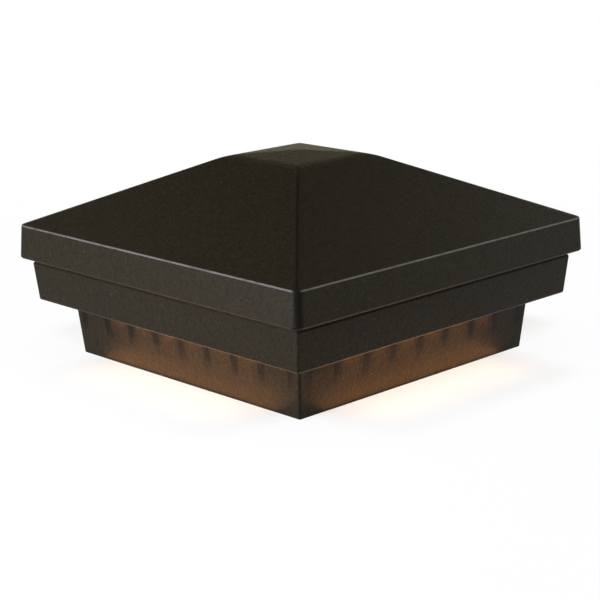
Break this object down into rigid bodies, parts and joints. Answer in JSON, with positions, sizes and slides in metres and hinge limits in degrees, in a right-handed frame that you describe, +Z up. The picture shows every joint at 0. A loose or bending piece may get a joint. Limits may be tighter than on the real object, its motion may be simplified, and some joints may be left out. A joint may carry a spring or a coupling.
{
  "type": "deck post cap light",
  "caption": "Square deck post cap light with a hipped cast roof, a stepped base whose collar slips over the post, and downward LEDs in a channel on every side.",
  "frame": {"origin": "centre of the collar's mouth, on the plane of its lower edge", "axes": "+Z up, along the post; +X and +Y square to the collar's faces"},
  "size_m": [0.188, 0.188, 0.0962],
  "materials": {
    "roof_coat": "matte",
    "base_coat": "matte",
    "foam": "matte",
    "grommet_rubber": "satin",
    "white_board": "satin",
    "led_body": "satin",
    "lens_clear": "gloss",
    "screw_steel": "satin",
    "green_board": "satin",
    "terminal_plastic": "satin",
    "black_plastic": "satin",
    "ferrite": "matte",
    "capacitor_sleeve": "gloss",
    "ivory_plastic": "satin",
    "lead_insulation": "satin",
    "spring_steel": "satin"
  },
  "bodies": {
    "base": {"base_casting": "base_coat", "rim_gasket": "foam", "cable_grommet": "grommet_rubber", "led_board_front": "white_board", "led_board_right": "white_board", "led_board_back": "white_board", "led_board_left": "white_board", "leds_front": "led_body", "leds_right": "led_body", "leds_back": "led_body", "leds_left": "led_body", "lens_front": "lens_clear", "lens_right": "lens_clear", "lens_back": "lens_clear", "lens_left": "lens_clear", "board_screws": "screw_steel", "lens_screws": "screw_steel", "driver_board": "green_board", "terminal_block": "terminal_plastic", "terminal_screws": "screw_steel", "bridge_rectifier": "black_plastic", "power_inductor": "ferrite", "capacitors": "capacitor_sleeve", "regulator_chip": "black_plastic", "output_sockets": "ivory_plastic", "driver_screws": "screw_steel", "lead_front": "lead_insulation", "lead_right": "lead_insulation", "lead_back": "lead_insulation", "lead_left": "lead_insulation"},
    "roof": {"roof_casting": "roof_coat", "roof_clip_front": "spring_steel", "roof_clip_right": "spring_steel", "roof_clip_back": "spring_steel", "roof_clip_left": "spring_steel", "clip_screws": "screw_steel"}
  },
  "joints": [
    {"name": "roof_lift", "type": "slide", "parent": "base", "child": "roof", "axis": [0, 0, 1], "range_m": [0, 0.07]}
  ]
}
